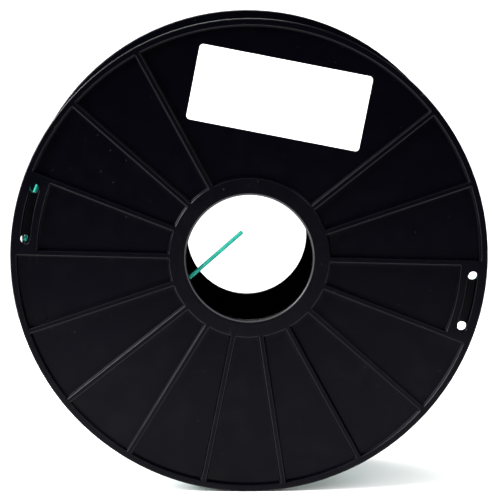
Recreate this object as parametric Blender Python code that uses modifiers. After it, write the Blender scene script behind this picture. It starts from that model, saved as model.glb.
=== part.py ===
"""Filament spool: two ribbed flanges on a barrel, wound with one strand of filament.

Metres, +Z up. The spool stands on its rims with its axis along Y, and the front
flange faces -Y. The origin is on the axis, half way between the flanges. Each
piece is drawn with the middle of the label sector pointing up, and the empty
spool_axis then turns all of them together by TURN.
"""
import bmesh
import bpy
from math import asin, cos, pi, radians, sin
from mathutils import Matrix, Vector

MM = 0.001

# Driving dimensions of the spool
WIDTH = 74.0 * MM                  # over both flanges
FLANGE_RADIUS = 100.0 * MM
FLANGE_THICKNESS = 4.8 * MM        # at the rim, the ribs and the collar
RECESS_DEPTH = 2.3 * MM            # the web lies this far below the ribs
RIM_WIDTH = 2.7 * MM
BORE_RADIUS = 26.5 * MM
COLLAR_RADIUS = 33.7 * MM
RIB_WIDTH = 2.0 * MM
RIB_PITCH = 20.0                   # degrees
FIRST_RIB = 10.0                   # degrees
LABEL_SECTOR = (50.0, 130.0)       # degrees, left without ribs for the label
EDGE = 0.6 * MM                    # chamfer of the rim and the bore
TURN = radians(11.5)               # the whole spool about its axis, clockwise from the front

# Tie-off places for the loose end: a raised land with a channel between two holes
TIE_CENTRES = (0.0, 180.0)         # degrees
LAND_RADIUS = 88.7 * MM
CHANNEL_INSIDE = 92.0 * MM          # the channel is about as wide as the holes
CHANNEL_OUTSIDE = 96.0 * MM
HOLE_CIRCLE = 94.2 * MM
HOLE_RADIUS = 2.0 * MM
HOLE_SPREAD = 6.7                  # degrees each side of the middle

# Barrel, and the seat in each flange's inner face that holds its end
BARREL_RADIUS = 30.0 * MM
SEAT_DEPTH = 1.3 * MM
GAP = 0.3 * MM                     # between neighbouring pieces

# Filament
FILAMENT_DIAMETER = 1.75 * MM
WINDING_RADIUS = 74.8 * MM         # one kilogram on this barrel
TAIL_START = Vector((-24.43, -16.03)) * MM      # in the notch of the barrel, x and z
TAIL_END = Vector((-5.01, 9.45)) * MM           # cut end in the bore
TAIL_PLANE = 31.0 * MM             # the tail lies this far in front of the middle
NOTCH_WIDTH = 3.2 * MM
NOTCH_OUTSIDE = 6.0 * MM           # the notch starts this far before the start of the tail
NOTCH_INSIDE = 9.0 * MM            # and ends this far along it
# Loose end, from the winding to the tie-off hole: degrees, radius and depth in front
# of the middle, both in millimetres
LOOSE_END = (
    (107.0, 75.95, 30.6), (114.0, 76.6, 30.0), (122.0, 78.6, 29.2), (131.0, 81.4, 28.5),
    (140.0, 84.8, 28.0), (149.0, 88.1, 27.7), (158.0, 90.9, 27.5), (166.0, 92.7, 27.4),
    (173.0, 93.6, 27.4), (178.0, 94.0, 27.4), (182.3, 94.1, 27.6), (184.1, 94.1, 28.3),
    (185.5, 94.1, 29.9), (186.3, 94.1, 32.2), (186.57, 94.1, 33.4), (186.8, 94.1, 34.4),
)

# Label
LABEL_SIZE = (73.3 * MM, 31.8 * MM)
LABEL_CENTRE = (-1.0 * MM, 68.2 * MM)
LABEL_TILT = radians(0.45)
LABEL_CORNER = 1.6 * MM
LABEL_THICKNESS = 0.2 * MM

# Fineness of the faceted solids
SEGMENTS = 80
STEP = 360.0 / SEGMENTS            # degrees
HOLE_SIDES = 16
CORNER_STEP = 22.5                 # degrees, round the label's corners
ROUTE_STEP = 2.5 * FILAMENT_DIAMETER
PAST = 1.0 * MM                    # cutters reach this far past the face they cut

INNER_FACE = WIDTH / 2 - FLANGE_THICKNESS        # of each flange, from the middle
RIM_INNER = FLANGE_RADIUS - RIM_WIDTH
BARREL_END = INNER_FACE + SEAT_DEPTH - GAP

FACING_FRONT = (pi / 2, 0.0, 0.0)
FACING_REAR = (pi / 2, 0.0, pi)


def clear_scene():
    """Remove every object of the scene."""
    for obj in list(bpy.data.objects):
        bpy.data.objects.remove(obj, do_unlink=True)


def new_collection(name):
    """A collection linked to the scene."""
    collection = bpy.data.collections.new(name)
    bpy.context.scene.collection.children.link(collection)
    return collection


def new_material(name, colour, roughness):
    """A Principled BSDF of one colour."""
    material = bpy.data.materials.new(name)
    material.use_nodes = True
    shader = material.node_tree.nodes["Principled BSDF"]
    shader.inputs["Base Color"].default_value = (*colour, 1.0)
    shader.inputs["Roughness"].default_value = roughness
    shader.inputs["Metallic"].default_value = 0.0
    return material


def polar(radius, degrees):
    """A point of the flange's plane."""
    return Vector((radius * cos(radians(degrees)), radius * sin(radians(degrees))))


def arc(radius, start, end, step=STEP):
    """Points along an arc from start to end, in degrees."""
    count = max(1, round(abs(end - start) / step))
    return [polar(radius, start + (end - start) * i / count) for i in range(count + 1)]


def smooth(mesh):
    """Shade the round faces smooth and keep the edges of the piece sharp."""
    mesh.shade_smooth()
    mesh.set_sharp_from_angle(angle=radians(30))


def baked(obj, name):
    """The object's mesh with its modifiers applied and its seams closed."""
    graph = bpy.context.evaluated_depsgraph_get()
    mesh = bpy.data.meshes.new_from_object(obj.evaluated_get(graph))
    mesh.name = name
    bm = bmesh.new()
    bm.from_mesh(mesh)
    bmesh.ops.remove_doubles(bm, verts=bm.verts, dist=1e-6)
    bm.to_mesh(mesh)
    bm.free()
    return mesh


def turned(name, profile, collection):
    """A closed section, drawn at +X, turned once about Z."""
    mesh = bpy.data.meshes.new(name)
    count = len(profile)
    points = [(radius, 0.0, height) for radius, height in profile]
    mesh.from_pydata(points, [(i, (i + 1) % count) for i in range(count)], [])
    obj = bpy.data.objects.new(name, mesh)
    collection.objects.link(obj)
    screw = obj.modifiers.new("turn", "SCREW")
    screw.steps = SEGMENTS
    screw.render_steps = SEGMENTS
    screw.use_merge_vertices = True
    screw.merge_threshold = 1e-6
    return obj


def plate(name, outlines, low, high, collection):
    """Flat outlines as solid plates from height low to height high."""
    curve = bpy.data.curves.new(name, "CURVE")
    curve.dimensions = "2D"
    curve.fill_mode = "BOTH"
    curve.extrude = (high - low) / 2
    for outline in outlines:
        spline = curve.splines.new("POLY")
        spline.points.add(len(outline) - 1)
        for point, place in zip(spline.points, outline):
            point.co = (place.x, place.y, 0.0, 1.0)
        spline.use_cyclic_u = True
    drawing = bpy.data.objects.new(name + "_drawing", curve)
    drawing.location.z = (low + high) / 2
    collection.objects.link(drawing)
    bpy.context.view_layer.update()
    obj = bpy.data.objects.new(name, baked(drawing, name))
    obj.matrix_world = drawing.matrix_world
    collection.objects.link(obj)
    bpy.data.objects.remove(drawing, do_unlink=True)
    return obj


def as_cutter(obj):
    """Keep a cutting body out of the model."""
    obj.hide_render = True
    obj.display_type = "WIRE"
    return obj


def cut(obj, cutter):
    """Subtract a cutter from an object."""
    boolean = obj.modifiers.new("cut_" + cutter.name, "BOOLEAN")
    boolean.operation = "DIFFERENCE"
    boolean.solver = "EXACT"
    boolean.object = cutter


def rib_angles():
    """The middle of every rib, in degrees."""
    angles = []
    for i in range(round(360 / RIB_PITCH)):
        angle = FIRST_RIB + RIB_PITCH * i
        if not LABEL_SECTOR[0] < angle < LABEL_SECTOR[1]:
            angles.append(angle)
    return angles


def recess_outline(start, end):
    """The outline of the recess between two ribs, whose sides are parallel to the ribs."""
    middle = (start + end) / 2
    tie_off = any(abs((middle - centre + 180) % 360 - 180) < 1 for centre in TIE_CENTRES)
    outer = LAND_RADIUS if tie_off else RIM_INNER
    outer_side = asin(RIB_WIDTH / 2 / outer) * 180 / pi
    inner_side = asin(RIB_WIDTH / 2 / COLLAR_RADIUS) * 180 / pi
    outline = arc(outer, start + outer_side, end - outer_side)
    outline += arc(COLLAR_RADIUS, end - inner_side, start + inner_side, 2 * STEP)
    return outline


def channel_outline(centre):
    """The outline of the channel between the two holes of a tie-off place."""
    outline = arc(CHANNEL_OUTSIDE, centre - HOLE_SPREAD, centre + HOLE_SPREAD)
    outline += arc(CHANNEL_INSIDE, centre + HOLE_SPREAD, centre - HOLE_SPREAD)
    return outline


def hole_outline(angle):
    """The outline of one tie-off hole."""
    centre = polar(HOLE_CIRCLE, angle)
    return [centre + polar(HOLE_RADIUS, 360 * i / HOLE_SIDES) for i in range(HOLE_SIDES)]


def notch_outline():
    """The outline of the notch along the tail, through the barrel's wall."""
    along = (TAIL_END - TAIL_START).normalized()
    across = Vector((-along.y, along.x)) * NOTCH_WIDTH / 2
    outside = TAIL_START - along * NOTCH_OUTSIDE
    inside = TAIL_START + along * NOTCH_INSIDE
    return [outside - across, inside - across, inside + across, outside + across]


def flange_moulding(cutters):
    """One flange, with its outer face up and its inner face at height 0."""
    top = FLANGE_THICKNESS
    profile = [
        (FLANGE_RADIUS - EDGE, top), (FLANGE_RADIUS, top - EDGE), (FLANGE_RADIUS, EDGE),
        (FLANGE_RADIUS - EDGE, 0.0), (BARREL_RADIUS + GAP, 0.0), (BARREL_RADIUS + GAP, SEAT_DEPTH),
        (BORE_RADIUS, SEAT_DEPTH), (BORE_RADIUS, top - EDGE / 2), (BORE_RADIUS + EDGE / 2, top),
    ]
    blank = turned("flange_blank", profile, cutters)
    above = top + PAST
    ribs = rib_angles()
    following = ribs[1:] + [ribs[0] + 360]
    recesses = [recess_outline(start, end) for start, end in zip(ribs, following)]
    channels = [channel_outline(centre) for centre in TIE_CENTRES]
    holes = [hole_outline(centre + side * HOLE_SPREAD) for centre in TIE_CENTRES for side in (-1, 1)]
    floor = top - RECESS_DEPTH
    cut(blank, as_cutter(plate("recess_cutter", recesses + channels, floor, above, cutters)))
    cut(blank, as_cutter(plate("hole_cutter", holes, -PAST, above, cutters)))
    mesh = baked(blank, "flange")
    bpy.data.objects.remove(blank, do_unlink=True)
    smooth(mesh)
    return mesh


def add_piece(obj, axis, material):
    """Put a piece on the spool's axis and give it its material."""
    obj.parent = axis
    obj.data.materials.clear()
    obj.data.materials.append(material)


def add_flange(name, mesh, rotation, side, axis, material, collection):
    """One of the two flanges, which are the same moulding turned round."""
    flange = bpy.data.objects.new(name, mesh.copy())
    flange.rotation_euler = rotation
    flange.location.y = side * INNER_FACE
    collection.objects.link(flange)
    add_piece(flange, axis, material)


def add_barrel(axis, material, collection, cutters):
    """The tube between the flanges, notched at its front end for the tail."""
    end = BARREL_END
    profile = [(BARREL_RADIUS, end), (BARREL_RADIUS, -end), (BORE_RADIUS, -end), (BORE_RADIUS, end)]
    blank = turned("barrel_blank", profile, cutters)
    notch = plate("notch_cutter", [notch_outline()], INNER_FACE - NOTCH_WIDTH, end + PAST, cutters)
    cut(blank, as_cutter(notch))
    barrel = bpy.data.objects.new("hub_barrel", baked(blank, "hub_barrel"))
    bpy.data.objects.remove(blank, do_unlink=True)
    smooth(barrel.data)
    barrel.rotation_euler = FACING_FRONT
    collection.objects.link(barrel)
    add_piece(barrel, axis, material)


def add_winding(axis, material, collection):
    """The wound filament as one ring, with the rounded shoulders of its last layer."""
    end = INNER_FACE - GAP
    inner = BARREL_RADIUS + GAP
    shoulder = FILAMENT_DIAMETER / 2
    profile = [
        (WINDING_RADIUS - shoulder, end), (WINDING_RADIUS, end - shoulder),
        (WINDING_RADIUS, shoulder - end), (WINDING_RADIUS - shoulder, -end), (inner, -end), (inner, end),
    ]
    winding = turned("filament_winding", profile, collection)
    winding.rotation_euler = FACING_FRONT
    smooth(winding.data)
    add_piece(winding, axis, material)


def smooth_route(points, spacing):
    """Points at an even spacing along a smooth curve through the given points."""
    padded = [2 * points[0] - points[1], *points, 2 * points[-1] - points[-2]]
    route = []
    for before, start, end, after in zip(padded, padded[1:], padded[2:], padded[3:]):
        count = max(1, round((end - start).length / spacing))
        for i in range(count):
            t = i / count
            route.append(0.5 * (2 * start + (end - before) * t
                                + (2 * before - 5 * start + 4 * end - after) * t ** 2
                                + (3 * start - before - 3 * end + after) * t ** 3))
    route.append(points[-1])
    return route


def add_strand(name, route, axis, material, collection):
    """A free stretch of filament as a tube with closed ends."""
    curve = bpy.data.curves.new(name, "CURVE")
    curve.dimensions = "3D"
    curve.bevel_depth = FILAMENT_DIAMETER / 2
    curve.bevel_resolution = 2
    curve.use_fill_caps = True
    spline = curve.splines.new("POLY")
    spline.points.add(len(route) - 1)
    for point, place in zip(spline.points, route):
        point.co = (*place, 1.0)
    strand = bpy.data.objects.new(name, curve)
    collection.objects.link(strand)
    add_piece(strand, axis, material)


def tail_route():
    """The straight start of the filament, from the barrel's notch into the bore."""
    start = Vector((TAIL_START.x, -TAIL_PLANE, TAIL_START.y))
    end = Vector((TAIL_END.x, -TAIL_PLANE, TAIL_END.y))
    count = round((end - start).length / ROUTE_STEP)
    return [start.lerp(end, i / count) for i in range(count + 1)]


def loose_end_route():
    """The end of the filament, from the last turn into the tie-off hole."""
    points = []
    for angle, radius, depth in LOOSE_END:
        place = polar(radius * MM, angle)
        points.append(Vector((place.x, -depth * MM, place.y)))
    return smooth_route(points, ROUTE_STEP)


def add_label(axis, material, collection, cutters):
    """The blank label on the web of the front flange."""
    half = Vector(LABEL_SIZE) / 2
    turn = Matrix.Rotation(LABEL_TILT, 2)
    outline = []
    for corner, (x, y) in enumerate(((1, 1), (-1, 1), (-1, -1), (1, -1))):
        middle = Vector((x * (half.x - LABEL_CORNER), y * (half.y - LABEL_CORNER)))
        for i in range(round(90 / CORNER_STEP) + 1):
            outline.append(turn @ (middle + polar(LABEL_CORNER, 90 * corner + CORNER_STEP * i)))
    outline = [place + Vector(LABEL_CENTRE) for place in outline]
    web = WIDTH / 2 - RECESS_DEPTH
    low = web + GAP
    drawing = plate("label_blank", [outline], low, low + LABEL_THICKNESS, cutters)
    bpy.context.view_layer.update()
    label = bpy.data.objects.new("front_label", drawing.data.copy())
    label.data.transform(drawing.matrix_world)
    bpy.data.objects.remove(drawing, do_unlink=True)
    label.rotation_euler = FACING_FRONT
    collection.objects.link(label)
    add_piece(label, axis, material)


def build():
    """Make the whole spool."""
    clear_scene()
    pieces = new_collection("filament_spool")
    cutters = new_collection("cutters")
    plastic = new_material("black_plastic", (0.012, 0.012, 0.014), 0.42)
    filament = new_material("green_filament", (0.0, 0.36, 0.22), 0.2)
    paper = new_material("label_paper", (0.9, 0.9, 0.9), 0.6)

    axis = bpy.data.objects.new("spool_axis", None)
    axis.rotation_euler = (0.0, TURN, 0.0)
    pieces.objects.link(axis)

    moulding = flange_moulding(cutters)
    add_flange("front_flange", moulding, FACING_FRONT, -1, axis, plastic, pieces)
    add_flange("rear_flange", moulding, FACING_REAR, 1, axis, plastic, pieces)
    add_barrel(axis, plastic, pieces, cutters)
    add_winding(axis, filament, pieces)
    add_strand("filament_tail", tail_route(), axis, filament, pieces)
    add_strand("filament_loose_end", loose_end_route(), axis, filament, pieces)
    add_label(axis, paper, pieces, cutters)


build()
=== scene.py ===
from math import asin, atan2, cos, degrees, pi, radians, sin, tan

import bmesh
import bpy
import numpy as np
from mathutils import Matrix, Vector


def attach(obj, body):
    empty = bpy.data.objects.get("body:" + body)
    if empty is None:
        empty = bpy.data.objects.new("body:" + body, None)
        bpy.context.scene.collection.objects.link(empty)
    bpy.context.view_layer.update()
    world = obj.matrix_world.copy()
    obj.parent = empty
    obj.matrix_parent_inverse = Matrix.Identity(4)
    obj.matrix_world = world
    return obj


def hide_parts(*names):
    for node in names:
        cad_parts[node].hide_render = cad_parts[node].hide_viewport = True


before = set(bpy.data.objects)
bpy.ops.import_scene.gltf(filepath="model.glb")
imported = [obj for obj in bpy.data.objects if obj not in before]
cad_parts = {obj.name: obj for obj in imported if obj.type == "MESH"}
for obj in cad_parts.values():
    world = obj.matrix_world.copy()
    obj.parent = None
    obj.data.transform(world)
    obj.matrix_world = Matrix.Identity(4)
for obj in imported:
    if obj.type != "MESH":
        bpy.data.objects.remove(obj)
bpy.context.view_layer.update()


# --- Barrel -----------------------------------------------------------------
# A moulded polystyrene tube. Its ends are pressed and glued into a seat in each
# flange, and its inside is the spool's bore. A notch in its front end lets the
# start of the filament through into the bore.

MM = 0.001                       # pieces are drawn in millimetres, flange face up
TURN = radians(11.5)             # the spool has rolled this far on its rims
INNER_FACE = 32.2                # of each flange, from the middle of the spool
BORE = 26.5
BARREL_OUTSIDE = 30.0
BARREL_EDGE = 0.2                # rounding of the barrel's edges
SEAT_DEPTH = 1.3
SEAT_PLAY = 0.05
TAIL_START = Vector((-24.43, -16.03))
TAIL_END = Vector((-5.01, 9.45))
NOTCH_WIDTH = 3.2
NOTCH_OUTSIDE = 6.0              # the notch starts this far before the start of the tail
NOTCH_INSIDE = 9.0               # and ends this far along it


class Tone:
    """One output of a finish's nodes, so that sums on it read as arithmetic."""

    def __init__(self, finish, socket):
        self.finish = finish
        self.socket = socket

    def maths(self, operation, other):
        """A Math node on this tone and another tone or a number."""
        return self.finish.add("ShaderNodeMath", {"operation": operation}, {0: self, 1: other})

    def __add__(self, other):
        return self.maths("ADD", other)

    def __mul__(self, other):
        return self.maths("MULTIPLY", other)

    __radd__ = __add__
    __rmul__ = __mul__


class Finish:
    """A material: a Principled shader with fixed values, and what varies over the surface."""

    def __init__(self, name, fixed):
        self.material = bpy.data.materials.new(name)
        self.material.use_nodes = True
        self.tree = self.material.node_tree
        self.shader = self.tree.nodes["Principled BSDF"]
        for socket, value in fixed.items():
            self.shader.inputs[socket].default_value = value

    def plug(self, value, socket):
        """Link a tone to a socket, or set the socket to a plain value."""
        if isinstance(value, Tone):
            self.tree.links.new(value.socket, socket)
        else:
            socket.default_value = value

    def add(self, kind, settings, sockets, result=0):
        """Add a node: its settings first, then the values or links of its sockets."""
        node = self.tree.nodes.new(kind)
        for name, value in settings.items():
            setattr(node, name, value)
        for name, value in sockets.items():
            self.plug(value, node.inputs[name])
        return Tone(self, node.outputs[result])

    def vary(self, socket, value):
        """Feed one of the shader's sockets."""
        self.plug(value, self.shader.inputs[socket])

    def place(self, stretch=(1.0, 1.0, 1.0)):
        """Where a point is on its piece, in millimetres, stretched if asked."""
        spot = self.add("ShaderNodeTexCoord", {}, {}, "Object")
        scale = tuple(1 / (MM * share) for share in stretch)
        return self.add("ShaderNodeVectorMath", {"operation": "MULTIPLY"}, {0: spot, 1: scale})

    def noise(self, size, detail=2.0, spot=None):
        """Cloudy noise from 0 to 1 with clouds of about this size in millimetres."""
        sockets = {"Vector": spot or self.place(), "Scale": 1 / size, "Detail": detail}
        return self.add("ShaderNodeTexNoise", {}, sockets)

    def step(self, value, low, high):
        """A smooth step from 0 where a value is low to 1 where it is high."""
        sockets = {"Value": value, "From Min": low, "From Max": high}
        return self.add("ShaderNodeMapRange", {"interpolation_type": "SMOOTHSTEP"}, sockets)

    def mark(self, name):
        """A value painted on the piece's points."""
        return self.add("ShaderNodeAttribute", {"attribute_name": name}, {}, "Fac")

    def mix(self, share, first, second):
        """A blend of two colours."""
        return self.add("ShaderNodeMix", {"data_type": "RGBA"}, {0: share, 6: first, 7: second}, 2)

    def bump(self, height, depth):
        """Tilt the surface by a height from 0 to 1 that stands for this many millimetres."""
        sockets = {"Height": height, "Distance": depth * MM, "Strength": 1.0}
        self.vary("Normal", self.add("ShaderNodeBump", {}, sockets))


def black_plastic(name, shine, ground):
    """Moulded black polystyrene, satin, with dust, smudges, scratches, rubbed edges and painted
    highlight and shade.

    shine is how strongly it reflects, and ground is its colour in the recesses; the raised
    faces are painted a little lighter, as painted shade in the recesses. The marks are
    painted on the flanges' points; the barrel has none.
    """
    tint = (0.93, 0.88, 1.0, 1.0)
    finish = Finish(name, {"Specular IOR Level": shine, "Specular Tint": tint, "Coat Roughness": 0.3})
    cloud = finish.noise(7.0, 5.0)
    grain = finish.noise(0.35, 2.0)
    dust = finish.step(finish.noise(1.3, 1.0), 0.78, 0.81)
    smudge = finish.step(finish.noise(11.0, 6.0), 0.48, 0.70)
    scratch = finish.step(finish.noise(1.6, 6.0, finish.place((1.0, 3.0, 2.0))), 0.45, 0.62)
    rubbed_and_highlit = finish.mark("edge")

    # Painted shade: the recesses keep the ground colour and the raised faces are painted lighter.
    face = tuple(part + 0.0005 for part in ground)
    colour = finish.mix(finish.mark("raised"), (*ground, 1.0), (*face, 1.0))
    # Painted highlight: rubbed edges are painted lighter, and the coat below makes them glossier too.
    colour = finish.mix(0.8 * rubbed_and_highlit, colour, (0.002, 0.002, 0.003, 1.0))
    # Painted highlight: the bore's lip is painted light grey.
    colour = finish.mix(finish.mark("lip"), colour, (0.032, 0.031, 0.033, 1.0))
    finish.vary("Base Color", finish.mix(0.35 * dust, colour, (0.03, 0.03, 0.033, 1.0)))
    finish.vary("Roughness", 0.23 + 0.16 * cloud + 0.04 * grain + 0.2 * dust)
    wear_and_highlight = 0.32 * rubbed_and_highlit + 0.3 * shine * smudge + 0.10 * finish.mark("scuff") * scratch
    finish.vary("Coat Weight", wear_and_highlight)
    finish.bump(0.5 * grain + 0.5 * cloud, 0.03)
    return finish.material


def skin(name, grid, closed):
    """A mesh over a grid of points in millimetres, whose rows are rings.

    closed joins the last row to the first; otherwise both ends get a cap.
    """
    rows, columns = grid.shape[:2]
    mesh = bpy.data.meshes.new(name)
    at = np.arange(rows * columns).reshape(rows, columns)
    here = at if closed else at[:-1]
    above = np.roll(at, -1, axis=0) if closed else at[1:]
    quads = np.stack([here, np.roll(here, -1, axis=1), np.roll(above, -1, axis=1), above], axis=-1)
    faces = quads.reshape(-1, 4).tolist()
    if not closed:
        faces.append(at[0][::-1].tolist())
        faces.append(at[-1].tolist())
    mesh.from_pydata((grid.reshape(-1, 3) * MM).tolist(), [], faces)
    bm = bmesh.new()
    bm.from_mesh(mesh)
    bmesh.ops.recalc_face_normals(bm, faces=bm.faces)
    bm.to_mesh(mesh)
    bm.free()
    mesh.shade_smooth()
    return mesh


def turned(name, profile, steps, closed=True):
    """A section of (radius, height) points turned once about Z; an open one gets flat ends."""
    around = np.linspace(0, 2 * pi, steps, endpoint=False)
    radius, height = np.array(profile, float).T
    x = np.outer(radius, np.cos(around))
    y = np.outer(radius, np.sin(around))
    z = np.repeat(height[:, None], steps, axis=1)
    return skin(name, np.stack([x, y, z], axis=-1), closed)


def corner(radius, height, out, up, size, count=4):
    """Points round a small rounded corner of a section, from its flat side to its wall.

    out and up are +1 or -1: which way the material's corner points.
    """
    points = []
    for i in range(count + 1):
        angle = pi / 2 * i / count
        points.append((radius + out * size * (sin(angle) - 1), height + up * size * (cos(angle) - 1)))
    return points


def shown(name, mesh, material):
    """Put a mesh in the scene as an object with one finish."""
    obj = bpy.data.objects.new(name, mesh)
    obj.data.materials.clear()
    obj.data.materials.append(material)
    bpy.context.scene.collection.objects.link(obj)
    return obj


def carved(obj, cutters):
    """Cut bodies out of an object and keep the result as its mesh."""
    for cutter in cutters:
        boolean = obj.modifiers.new("cut", "BOOLEAN")
        boolean.operation = "DIFFERENCE"
        boolean.solver = "EXACT"
        boolean.object = cutter
    graph = bpy.context.evaluated_depsgraph_get()
    mesh = bpy.data.meshes.new_from_object(obj.evaluated_get(graph))
    obj.modifiers.clear()
    obj.data = mesh
    for cutter in cutters:
        bpy.data.objects.remove(cutter, do_unlink=True)


def crisp(obj):
    """Keep the flats flat and the cut edges sharp, with smooth rounds between."""
    obj.data.set_sharp_from_angle(angle=radians(38))
    weighted = obj.modifiers.new("flat_flats", "WEIGHTED_NORMAL")
    weighted.keep_sharp = True


def stand(obj, facing, along):
    """Stand a piece drawn face up on its rims: facing -1 to the front or +1 to the rear."""
    upright = Matrix.Rotation(pi / 2 * (1 + facing), 4, "Z") @ Matrix.Rotation(pi / 2, 4, "X")
    obj.data.transform(Matrix.Rotation(TURN, 4, "Y") @ Matrix.Translation((0, along * MM, 0)) @ upright)


barrel_end = INNER_FACE + SEAT_DEPTH - SEAT_PLAY
barrel_section = corner(BARREL_OUTSIDE, barrel_end, 1, 1, BARREL_EDGE)
barrel_section += corner(BARREL_OUTSIDE, -barrel_end, 1, -1, BARREL_EDGE)[::-1]
barrel_section += corner(BORE, -barrel_end, -1, -1, BARREL_EDGE)
barrel_section += corner(BORE, barrel_end, -1, 1, BARREL_EDGE)[::-1]
barrel_black = black_plastic("barrel_black", 0.0, (0.0001, 0.0001, 0.0001))
barrel = shown("barrel", turned("barrel", barrel_section, steps=180), barrel_black)

tail_way = (TAIL_END - TAIL_START).normalized()
notch_mesh = bpy.data.meshes.new("notch")
notch_body = bmesh.new()
bmesh.ops.create_cube(notch_body, size=1.0)
notch_body.to_mesh(notch_mesh)
notch_body.free()
notch = shown("notch", notch_mesh, barrel_black)
notch_middle = (TAIL_START + tail_way * (NOTCH_INSIDE - NOTCH_OUTSIDE) / 2) * MM
notch_size = (NOTCH_OUTSIDE + NOTCH_INSIDE, NOTCH_WIDTH, 2 * NOTCH_WIDTH)
notch.matrix_world = (
    Matrix.Translation((notch_middle.x, notch_middle.y, INNER_FACE * MM))
    @ Matrix.Rotation(atan2(tail_way.y, tail_way.x), 4, "Z")
    @ Matrix.Diagonal((*(side * MM for side in notch_size), 1))
)
bpy.context.view_layer.update()
carved(barrel, [notch])
crisp(barrel)
stand(barrel, -1, 0)
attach(barrel, "root")
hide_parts("hub_barrel")


# --- Flanges ----------------------------------------------------------------
# Two identical discs of moulded black polystyrene, ribs outwards, glued to the
# barrel. Each has a collar round the bore, 15 ribs, a plain sector for a label,
# and two tie-off places: a raised land with a channel between two holes.

THICKNESS = 4.8
RECESS = 2.3
RIM = 100.0
RIM_INSIDE = 97.3
COLLAR = 33.7
COLLAR_TOP = BORE + 2.2          # where the flat top of the collar starts
HALF_RIB = 1.0
RIB_PITCH = 20
RIB_START = 10
LABEL_SECTOR = (50, 130)
TIE_OFFS = (0, 180)              # degrees, the middles of the tie-off places
LAND = 88.7
CHANNEL_INSIDE = 92.0            # the channel is about as wide as the holes
CHANNEL_OUTSIDE = 96.0
HOLE_CIRCLE = 94.2
HOLE = 2.0
HOLE_SPREAD = 6.7                # degrees each side of the tie-off place's middle
HOLE_EASE = 0.2                  # the holes' broken edges
BORE_ROUND = 0.9
RIM_ROUND = 0.5
RIM_BACK_ROUND = 0.6
SEAT_ROUND = 0.2
TOP_ROUND = 0.35                 # of ribs, rim, collar and lands
FOOT_ROUND = 0.6
DRAFT = radians(6)
SCUFF_SIDE = radians(165)        # where a spindle has rubbed the collar most

# Where the mesh has lines and rings of points on the flats between its walls
CHANNEL_LINES = (-4.4, -2.2, 0, 2.2, 4.4)       # degrees from the tie-off place's middle
WEB_LINE_PITCH = 3               # degrees
WEB_RINGS = (36, 42, 50, 58, 66, 74, 82, 86.5)
BACK_RINGS = (97, 88, 70, 50, 34)


def wall_stations():
    """Across a moulded wall: how far out from its edge, share of the recess's depth, edge or not."""
    stations = []
    top_steps, foot_steps = 4, 3
    lean = pi / 2 - DRAFT
    for i in range(top_steps + 1):
        angle = lean * i / top_steps
        stations.append((TOP_ROUND * (sin(angle) - 1), TOP_ROUND * (1 - cos(angle)), float(i > 0)))
    reach, top = stations[-1][:2]
    foot = RECESS - FOOT_ROUND * (1 - cos(lean))
    reach += (foot - top) * tan(DRAFT)
    for i in range(foot_steps, -1, -1):
        angle = lean * i / foot_steps
        out = reach + FOOT_ROUND * (sin(lean) - sin(angle))
        stations.append((out, RECESS - FOOT_ROUND * (1 - cos(angle)), 0.0))
    return [(out, depth / RECESS, edge) for out, depth, edge in stations]


def rib_middles():
    """The middle of each rib, in degrees."""
    every = range(RIB_START, RIB_START + 360, RIB_PITCH)
    return [angle for angle in every if not LABEL_SECTOR[0] < angle < LABEL_SECTOR[1]]


def around_stations():
    """Every line of points that runs outwards over the flange.

    Each is (angle, offset, factor, tie-off, recess share, channel share, edge): at a
    radius r the line lies at angle + factor * asin(offset / r).
    """
    wall = wall_stations()
    foot = HALF_RIB + wall[-1][0]
    lines = []
    ribs = rib_middles()
    for rib, following in zip(ribs, ribs[1:] + [ribs[0] + 360]):
        middle = (rib + following) / 2
        tie_off = middle % 360 in TIE_OFFS
        lines.append((rib, 0.0, 1.0, tie_off, 0.0, 0.0, 0.0))
        for out, share, edge in wall:
            lines.append((rib, HALF_RIB + out, 1.0, tie_off, share, 0.0, edge))
        width = following - rib - 2 * degrees(asin(foot / HOLE_CIRCLE))
        if tie_off:
            spots = []
            for out, share, edge in wall:
                angle = HOLE_SPREAD - degrees(out / HOLE_CIRCLE)
                spots.append((-angle, share, edge))
                spots.append((angle, share, edge))
            spots += [(angle, 1.0, 0.0) for angle in CHANNEL_LINES]
            spots = [(0.5 + angle / width, share, edge) for angle, share, edge in sorted(spots)]
        else:
            count = round(width / WEB_LINE_PITCH)
            spots = [(i / count, 0.0, 0.0) for i in range(1, count)]
        for share, channel, edge in spots:
            angle = rib + (following - rib) * share
            lines.append((angle, foot, 1 - 2 * share, tie_off, 1.0, channel, edge))
        for out, share, edge in reversed(wall):
            lines.append((following, -HALF_RIB - out, 1.0, tie_off, share, 0.0, edge))
    return lines


def outward_stations():
    """Every ring of points over the flange's outer face, from the collar to the rim.

    Each is (radius, collar, land, channel, rim, edge): the shares are 0 to 1, for how far
    the ring has gone into the recess past the collar, into the land, the channel and the rim.
    """
    wall = wall_stations()
    rings = [(COLLAR_TOP, 0, 0, 0, 0, 0.0), (COLLAR - 2.0, 0, 0, 0, 0, 0.0)]
    rings += [(COLLAR + out, share, 0, 0, 0, edge) for out, share, edge in wall]
    rings += [(radius, 1, 0, 0, 0, 0.0) for radius in WEB_RINGS]
    rings += [(LAND - out, 1, 1 - share, 0, 0, edge) for out, share, edge in reversed(wall)]
    rings += [(CHANNEL_INSIDE + out, 1, 1, share, 0, edge) for out, share, edge in wall]
    rings += [(HOLE_CIRCLE, 1, 1, 1, 0, 0.0)]
    rings += [(CHANNEL_OUTSIDE - out, 1, 1, share, 0, edge) for out, share, edge in reversed(wall)]
    rings += [(RIM_INSIDE - out, 1, 1, 0, 1 - share, edge) for out, share, edge in reversed(wall)]
    rings += [(RIM_INSIDE + 1.0, 1, 1, 0, 1, 0.0)]
    return rings


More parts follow.
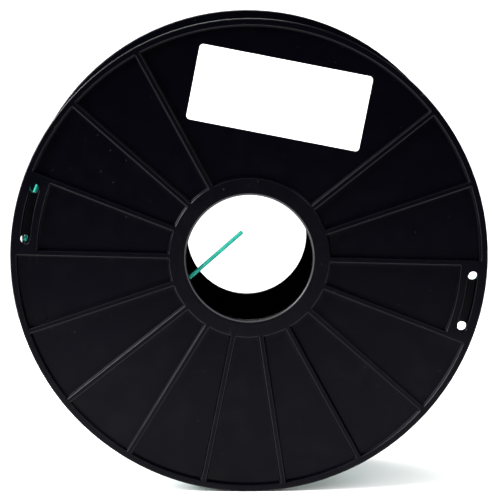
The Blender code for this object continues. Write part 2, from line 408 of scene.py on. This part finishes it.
def flange_mesh():
    """One flange as a closed grid: its outer face, rim, inner face, seat and bore.

    Its points carry four marks for the finish, from 0 to 1: raised, for how high they
    lie, lighter where higher as painted shade in the recesses; edge, for rubbed edges,
    also painted lighter as painted highlight; lip, for the bore's edge, a painted highlight;
    and scuff, for the collar.
    """
    lines = np.array(around_stations(), float).T
    angle, offset, factor, tie_off, recess, channel, edge = lines
    # lip: how much the points of the bore's round and the rim's round are painted lighter, as painted
    # highlight.
    bore_edge = zip(corner(BORE, THICKNESS, -1, 1, BORE_ROUND, 5)[::-1], (0, 0, 0.5, 1, 1, 0))
    rim_edge = zip(corner(RIM, THICKNESS, 1, 1, RIM_ROUND, 5), (0, 1, 1, 0.5, 0, 0))
    seat_radius = BARREL_OUTSIDE + SEAT_PLAY
    under = [(RIM, THICKNESS / 2), *corner(RIM, 0.0, 1, -1, RIM_BACK_ROUND)[::-1]]
    under += [(radius, 0.0) for radius in BACK_RINGS]
    under += [*corner(seat_radius, 0.0, -1, -1, SEAT_ROUND), (seat_radius, SEAT_DEPTH)]
    under += [(BORE + SEAT_ROUND, SEAT_DEPTH), (BORE, SEAT_DEPTH + SEAT_ROUND), (BORE, 2.6)]
    rows = [(*spot, 0, 0, 0, 0, 0, 0, lip) for spot, lip in bore_edge]
    rows += [(radius, THICKNESS, *shares, 1, 0) for radius, *shares in outward_stations()]
    rows += [(*spot, 0, 0, 0, 0, 0, 0, lip) for spot, lip in rim_edge]
    rows += [(*spot, 0, 0, 0, 0, 0, 0, 0) for spot in under]
    columns = np.array(rows, float).T[:, :, None]
    radius, height, collar, land, trough, rim, ring_edge, outer, lip = columns
    deep = recess * collar * (1 - np.where(tie_off > 0, land, rim)) * outer
    slot = channel * trough * tie_off * outer
    depth = np.maximum(deep, slot)
    around = np.radians(angle) + factor * np.arcsin(offset / radius)
    x = radius * np.cos(around)
    y = radius * np.sin(around)
    z = height - RECESS * depth
    mesh = skin("flange", np.stack([x, y, z], axis=-1), closed=True)

    # Painted shade: raised faces, the collar most, are painted lighter than the recesses.
    raised = (1 - depth) * np.where(radius < COLLAR + 1, 1.0, 0.3)
    # Rubbed edges, also painted lighter as painted highlight, together with the rims' and the bore's
    # rounds.
    across = edge * (channel == 0) * np.where(tie_off > 0, collar * (1 - land), collar * (1 - rim))
    along = edge * tie_off * trough * (channel > 0)
    in_recess = recess * np.where(tie_off > 0, land < 1, (land == 0) | (rim > 0))
    in_channel = channel * tie_off * (trough > 0)
    wear_and_highlight = np.maximum(np.maximum(across, along), ring_edge * np.maximum(in_recess, in_channel))
    wear_and_highlight = np.maximum(wear_and_highlight * outer, lip)
    # Painted highlight: the bore's lip is painted light grey.
    bore_lip_highlight = lip * (radius < COLLAR)
    scuff = np.clip((COLLAR - radius) / (COLLAR - COLLAR_TOP), 0, 1) * outer
    scuff = scuff * (0.3 + 0.7 * np.clip(np.cos(around - SCUFF_SIDE), 0, 1) ** 4)
    for name, value in (("raised", raised), ("edge", wear_and_highlight), ("lip", bore_lip_highlight), ("scuff", scuff)):
        values = np.broadcast_to(value, depth.shape).astype(np.float32)
        mesh.attributes.new(name, "FLOAT", "POINT").data.foreach_set("value", values.ravel())
    return mesh


def hole_cutter(angle):
    """A body that drills one tie-off hole, and reaches past both faces to break its edges."""
    past = 1.0
    wide = HOLE + HOLE_EASE + past
    section = [(wide, -past), (HOLE, HOLE_EASE)]
    section += [(HOLE, THICKNESS - HOLE_EASE), (wide, THICKNESS + past)]
    body = shown("drill", turned("drill", section, steps=40, closed=False), flange_black)
    body.location = Matrix.Rotation(radians(angle), 3, "Z") @ Vector((HOLE_CIRCLE * MM, 0, 0))
    return body


flange_black = black_plastic("flange_black", 0.065, (0.0001, 0.0001, 0.0009))
flange = shown("front_moulding", flange_mesh(), flange_black)
drills = [hole_cutter(side + spread) for side in TIE_OFFS for spread in (-HOLE_SPREAD, HOLE_SPREAD)]
bpy.context.view_layer.update()
carved(flange, drills)
rear_flange = shown("rear_moulding", flange.data.copy(), flange_black)
for obj, node, facing in ((flange, "front_flange", -1), (rear_flange, "rear_flange", 1)):
    crisp(obj)
    stand(obj, facing, facing * INNER_FACE)
    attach(obj, "root")
    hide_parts(node)


# --- Wound filament ---------------------------------------------------------
# About a kilogram of 1.75 mm translucent green filament, wound to and fro under
# tension. Each turn lies in the groove between two turns below it, and steps
# over by one turn once a revolution. The last two layers are drawn as strand.

STRAND = 1.75
PITCH = 62.5 / 35                # 35 turns fill a layer
LAST_TURN_RADIUS = 73.9
LAY_HEIGHT = 1.56                # a layer bedded in the grooves of the one below adds this much
LAYER_STOP = 1.6                 # the last layer isn't full: it stops this far short
SIDE_PLAY = 0.07                 # between the outermost turns and the flanges
LOOSE_ANGLE = 107.0              # degrees, where the loose end leaves the winding
LOOSE_START = (75.95, 30.6)      # its radius there and its distance from the spool's middle
STEPS = 96                       # points in one turn
RISE_STEPS = 12                  # of them where the strand climbs to the next layer
GROOVE = 0.9                     # the inner layers lie this far below the strand that is drawn
INNER_TURNS = 36
TURN_POINTS = 6                  # points across one of the inner layers' turns


def green_filament(name):
    """Extruded translucent green plastic: glossy, tinted through its thickness."""
    finish = Finish(name, {"IOR": 1.3, "Specular IOR Level": 0.2, "Transmission Weight": 0.3})
    cloud = finish.noise(5.0, 2.0)
    ripple = finish.noise(0.5, 2.0)
    deep = (0.010, 0.24, 0.18, 1.0)
    light = (0.018, 0.32, 0.24, 1.0)
    finish.vary("Base Color", finish.mix(finish.step(cloud, 0.3, 0.7), deep, light))
    finish.vary("Roughness", 0.22 + 0.14 * ripple)
    finish.bump(ripple, 0.012)
    return finish.material


def tube(name, centres, radius, sides, rounded):
    """A strand of round section along a line of points in millimetres, label up.

    rounded breaks the edges of its two cut ends.
    """
    centres = np.asarray(centres, float) @ np.array(Matrix.Rotation(TURN, 3, "Y")).T
    along = np.gradient(centres, axis=0)
    along /= np.linalg.norm(along, axis=1)[:, None]
    side = np.cross(along, (0.0, 1.0, 0.0))
    side /= np.linalg.norm(side, axis=1)[:, None]
    other = np.cross(along, side)
    radii = np.full(len(centres), radius)
    if rounded:
        centres, side, other, radii = [np.pad(rows, [(2, 2)] + [(0, 0)] * (rows.ndim - 1), "edge")
                                       for rows in (centres, side, other, radii)]
        for ring, past, share in ((0, 0.16, 0.72), (1, 0.10, 0.9)):
            centres[ring] -= along[0] * radius * past
            centres[-1 - ring] += along[-1] * radius * past
            radii[[ring, -1 - ring]] = radius * share
    turn = np.linspace(0, 2 * pi, sides, endpoint=False)[None, :, None]
    ring = np.cos(turn) * side[:, None, :] + np.sin(turn) * other[:, None, :]
    return skin(name, centres[:, None, :] + ring * radii[:, None, None], closed=False)


def turns(first, last, seed):
    """Where each turn of a layer lies across the spool, at each step round it.

    The place where it steps over to the next turn wanders from turn to turn.
    """
    step_length = 0.16               # share of a turn in which it steps over
    count = round(abs(last - first) / PITCH)
    chance = np.random.default_rng(seed)
    share = np.arange(STEPS) / STEPS
    rows = []
    for turn in range(count):
        step_at = 0.72 + 0.1 * sin(turn * 0.9 + seed) + chance.uniform(-0.03, 0.03)
        step = np.clip((share - step_at) / step_length, 0, 1)
        step = step * step * (3 - 2 * step)
        sway = 0.05 * np.sin(2 * pi * share + chance.uniform(0, 6)) * sin(pi * (turn + 0.5) / count)
        rows.append(first + (turn + step) * (last - first) / count + sway)
    return np.array(rows)


def bedded(across, below, below_radius):
    """How far out each turn of a layer lies, bedded on the turns of the layer below.

    Strands lie a hundredth of their thickness apart, so that they don't cut into each other.
    """
    gap = np.abs(across[:, None, :] - below[None, :, :])
    nearest = gap.argmin(axis=1)
    steps = np.arange(STEPS)[None, :]
    beside = np.minimum(gap.min(axis=1), PITCH / 2)
    return below_radius[nearest, steps] + np.sqrt((STRAND * 1.01) ** 2 - beside ** 2)


def strand_line(across, radius):
    """The centre line of a layer's strand, which starts and stops at the loose end's angle."""
    angle = np.radians(LOOSE_ANGLE + 360 * np.linspace(0, len(across), across.size))
    around = radius.ravel()
    return np.stack([around * np.cos(angle), across.ravel(), around * np.sin(angle)], axis=-1)


edge_turn = INNER_FACE - STRAND / 2 - SIDE_PLAY
under_across = turns(-edge_turn, edge_turn, seed=3)
under_radius = np.full(under_across.shape, LAST_TURN_RADIUS - LAY_HEIGHT)
top_across = turns(edge_turn, LAYER_STOP - edge_turn, seed=8)
top_radius = bedded(top_across, under_across, under_radius)
rise = np.linspace(0, 1, RISE_STEPS) ** 2
climb_on, climb_off = top_radius[0, :RISE_STEPS], top_radius[-1, -RISE_STEPS:]
last_across = top_across[-1, -RISE_STEPS:]
climb_on += (under_radius[0, 0] - climb_on) * rise[::-1]
climb_off += (LOOSE_START[0] - climb_off) * rise
last_across += (-LOOSE_START[1] - last_across) * rise

filament_green = green_filament("filament_green")
under_line = strand_line(under_across, under_radius)
under_mesh = tube("under_layer", under_line, STRAND / 2, sides=8, rounded=False)
under_layer = shown("filament_under_layer", under_mesh, filament_green)
top_line = strand_line(top_across, top_radius)
top_mesh = tube("top_layer", top_line, STRAND / 2, sides=10, rounded=False)
top_layer = shown("filament_top_layer", top_mesh, filament_green)

core_inside = BARREL_OUTSIDE + 0.1
groove_radius = LAST_TURN_RADIUS - LAY_HEIGHT - STRAND / 2 - GROOVE
core_section = [(core_inside, edge_turn), (core_inside, -edge_turn)]
for turn in range(INNER_TURNS):
    for part in range(TURN_POINTS):
        share = part / TURN_POINTS
        spot = -edge_turn + (turn + share) * 2 * edge_turn / INNER_TURNS
        core_section.append((groove_radius + STRAND / 2 * sin(pi * share), spot))
core_mesh = turned("inner_layers", core_section[::-1], steps=120)
core = shown("filament_inner_layers", core_mesh, filament_green)
core.data.transform(Matrix.Rotation(pi / 2, 4, "X"))
for obj in (core, under_layer, top_layer):
    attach(obj, "root")
    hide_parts("filament_winding")


# --- Filament tail ----------------------------------------------------------
# The start of the same strand. It comes through the notch in the barrel just
# behind the front flange and stands straight and stiff across the bore, cut off
# square with side cutters.

TAIL_PLANE = -31.0               # from the middle of the spool, towards the front
TAIL_STEPS = 24


tail_line = []
for step in range(TAIL_STEPS + 1):
    spot = TAIL_START.lerp(TAIL_END, step / TAIL_STEPS)
    tail_line.append((spot.x, TAIL_PLANE, spot.y))
tail_mesh = tube("start_tail", tail_line, STRAND / 2, sides=20, rounded=True)
tail = shown("start_tail", tail_mesh, filament_green)
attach(tail, "root")
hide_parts("filament_tail")


# --- Loose end --------------------------------------------------------------
# The other end of the strand. It springs up from the last turn, runs round
# behind the front flange and is poked from behind into the lower tie-off hole.

LOOSE_END = (                    # degrees, radius and distance in front of the spool's middle
    (LOOSE_ANGLE, *LOOSE_START), (114.0, 76.6, 30.0), (122.0, 78.6, 29.2), (131.0, 81.4, 28.5),
    (140.0, 84.8, 28.0), (149.0, 88.1, 27.7), (158.0, 90.9, 27.5), (166.0, 92.7, 27.4),
    (173.0, 93.6, 27.4), (178.0, 94.0, 27.4), (182.3, 94.1, 27.6), (184.1, 94.1, 28.3),
    (185.5, 94.1, 29.9), (186.3, 94.1, 32.2), (186.57, 94.1, 33.4), (186.8, 94.1, 34.4),
)


def smooth_line(points, count):
    """A smooth curve through the given points, with count points from each to the next."""
    points = [Vector(point) for point in points]
    padded = [2 * points[0] - points[1], *points, 2 * points[-1] - points[-2]]
    line = []
    for before, start, end, after in zip(padded, padded[1:], padded[2:], padded[3:]):
        for i in range(count):
            t = i / count
            line.append(0.5 * (2 * start + (end - before) * t
                               + (2 * before - 5 * start + 4 * end - after) * t ** 2
                               + (3 * start - before - 3 * end + after) * t ** 3))
    return line + [points[-1]]


loose_route = []
for angle, radius, depth in LOOSE_END:
    loose_route.append((radius * cos(radians(angle)), -depth, radius * sin(radians(angle))))
loose_line = smooth_line(loose_route, count=6)
loose_mesh = tube("loose_end", loose_line, STRAND / 2, sides=16, rounded=True)
loose_end = shown("loose_end", loose_mesh, filament_green)
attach(loose_end, "root")
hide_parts("filament_loose_end")


# --- Label ------------------------------------------------------------------
# A blank die-cut label of smooth white paper with rounded corners, stuck a hair
# out of square on the plain sector of the front flange.

LABEL_SIZE = (73.3, 31.8)
LABEL_MIDDLE = Vector((-1.0, 68.2))
LABEL_CORNER = 1.6
CORNER_STEPS = 8
LABEL_TILT = radians(0.45)
LABEL_THICKNESS = 0.12
LABEL_EDGE = (0.04, 0.03)        # how far in and how far down its cut edge is broken
GLUE = 0.01                      # under the label


def label_paper():
    """Smooth white label stock with a faint fibre."""
    finish = Finish("label_paper", {"Specular IOR Level": 0.35})
    fibre = finish.noise(0.6, 4.0, finish.place((3.0, 1.0, 1.0)))
    tone = finish.noise(14.0, 2.0)
    finish.vary("Base Color", finish.mix(tone, (0.90, 0.90, 0.90, 1.0), (0.94, 0.94, 0.935, 1.0)))
    finish.vary("Roughness", 0.42 + 0.14 * fibre)
    finish.bump(fibre, 0.01)
    return finish.material


def rounded_plate(name, size, radius, thickness):
    """A thin plate with rounded corners and broken edges, lying on height 0."""
    inward, down = LABEL_EDGE
    rings = []
    for inset, height in ((inward, 0.0), (0.0, down), (0.0, thickness - down), (inward, thickness)):
        ring = []
        for quarter, (x, y) in enumerate(((1, 1), (-1, 1), (-1, -1), (1, -1))):
            for i in range(CORNER_STEPS + 1):
                angle = pi / 2 * (quarter + i / CORNER_STEPS)
                reach = radius - inset
                ring.append((x * (size[0] / 2 - radius) + reach * cos(angle),
                             y * (size[1] / 2 - radius) + reach * sin(angle), height))
        rings.append(ring)
    return skin(name, np.array(rings), closed=False)


label_mesh = rounded_plate("label", LABEL_SIZE, LABEL_CORNER, LABEL_THICKNESS)
label = shown("blank_label", label_mesh, label_paper())
on_web = Vector((*LABEL_MIDDLE, THICKNESS - RECESS + GLUE)) * MM
label.data.transform(Matrix.Translation(on_web) @ Matrix.Rotation(LABEL_TILT, 4, "Z"))
label.data.set_sharp_from_angle(angle=radians(30))
stand(label, -1, -INNER_FACE)
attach(label, "root")
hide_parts("front_label")


# --- Studio -----------------------------------------------------------------
# A flat round table top of white card under an even white sky, with a soft key
# light from the upper left, a weak one from the right and one from above and behind.

TABLE_RADIUS = 0.42              # metres, as are the places and widths of the lights


def floor_finish():
    """Plain white studio card."""
    finish = Finish("studio_card", {"Roughness": 0.9, "Specular IOR Level": 0.1})
    tone = finish.noise(300.0, 1.0)
    finish.vary("Base Color", finish.mix(tone, (0.86, 0.86, 0.86, 1.0), (0.88, 0.88, 0.88, 1.0)))
    return finish.material


floor_mesh = bpy.data.meshes.new("floor")
floor_body = bmesh.new()
bmesh.ops.create_circle(floor_body, cap_ends=True, segments=96, radius=TABLE_RADIUS)
floor_body.to_mesh(floor_mesh)
floor_body.free()
floor = shown("floor", floor_mesh, floor_finish())
floor.location.z = -RIM * MM


def soft_light(name, place, width, power, colour):
    """A square soft box that faces the middle of the spool."""
    data = bpy.data.lights.new(name, "AREA")
    data.shape = "SQUARE"
    data.size = width
    data.energy = power
    data.color = colour
    light = bpy.data.objects.new(name, data)
    light.location = place
    light.rotation_euler = (-Vector(place)).to_track_quat("-Z", "Y").to_euler()
    bpy.context.scene.collection.objects.link(light)


soft_light("key_light", (-0.76, -0.30, 0.47), 0.5, 28.0, (0.99, 0.99, 1.0))
soft_light("right_light", (0.62, -0.40, 0.52), 0.35, 2.5, (0.97, 0.985, 1.0))
soft_light("back_light", (-0.20, 0.75, 0.78), 0.7, 11.0, (1.0, 1.0, 1.0))
world = bpy.data.worlds.new("studio")
world.use_nodes = True
sky = world.node_tree.nodes["Background"]
sky.inputs["Color"].default_value = (1.0, 1.0, 1.0, 1.0)
sky.inputs["Strength"].default_value = 1.55
world.cycles_visibility.glossy = False
bpy.context.scene.world = world
bpy.context.scene.view_settings.view_transform = "Standard"

# The camera has a long lens and looks a little down on the front flange from a metre away.
AZIMUTH = radians(0.94)
ELEVATION = radians(8.13)
DISTANCE = 1.0737
AIM = Vector((0.00026, -0.037, 0.00348))
camera_data = bpy.data.cameras.new("camera")
camera_data.lens = 184.9
camera_data.sensor_width = 36.0
camera_data.clip_start = 0.05
camera = bpy.data.objects.new("camera", camera_data)
sight = Vector((sin(AZIMUTH) * cos(ELEVATION), cos(AZIMUTH) * cos(ELEVATION), -sin(ELEVATION)))
camera.location = AIM - sight * DISTANCE
camera.rotation_euler = sight.to_track_quat("-Z", "Y").to_euler()
bpy.context.scene.collection.objects.link(camera)
bpy.context.scene.camera = camera
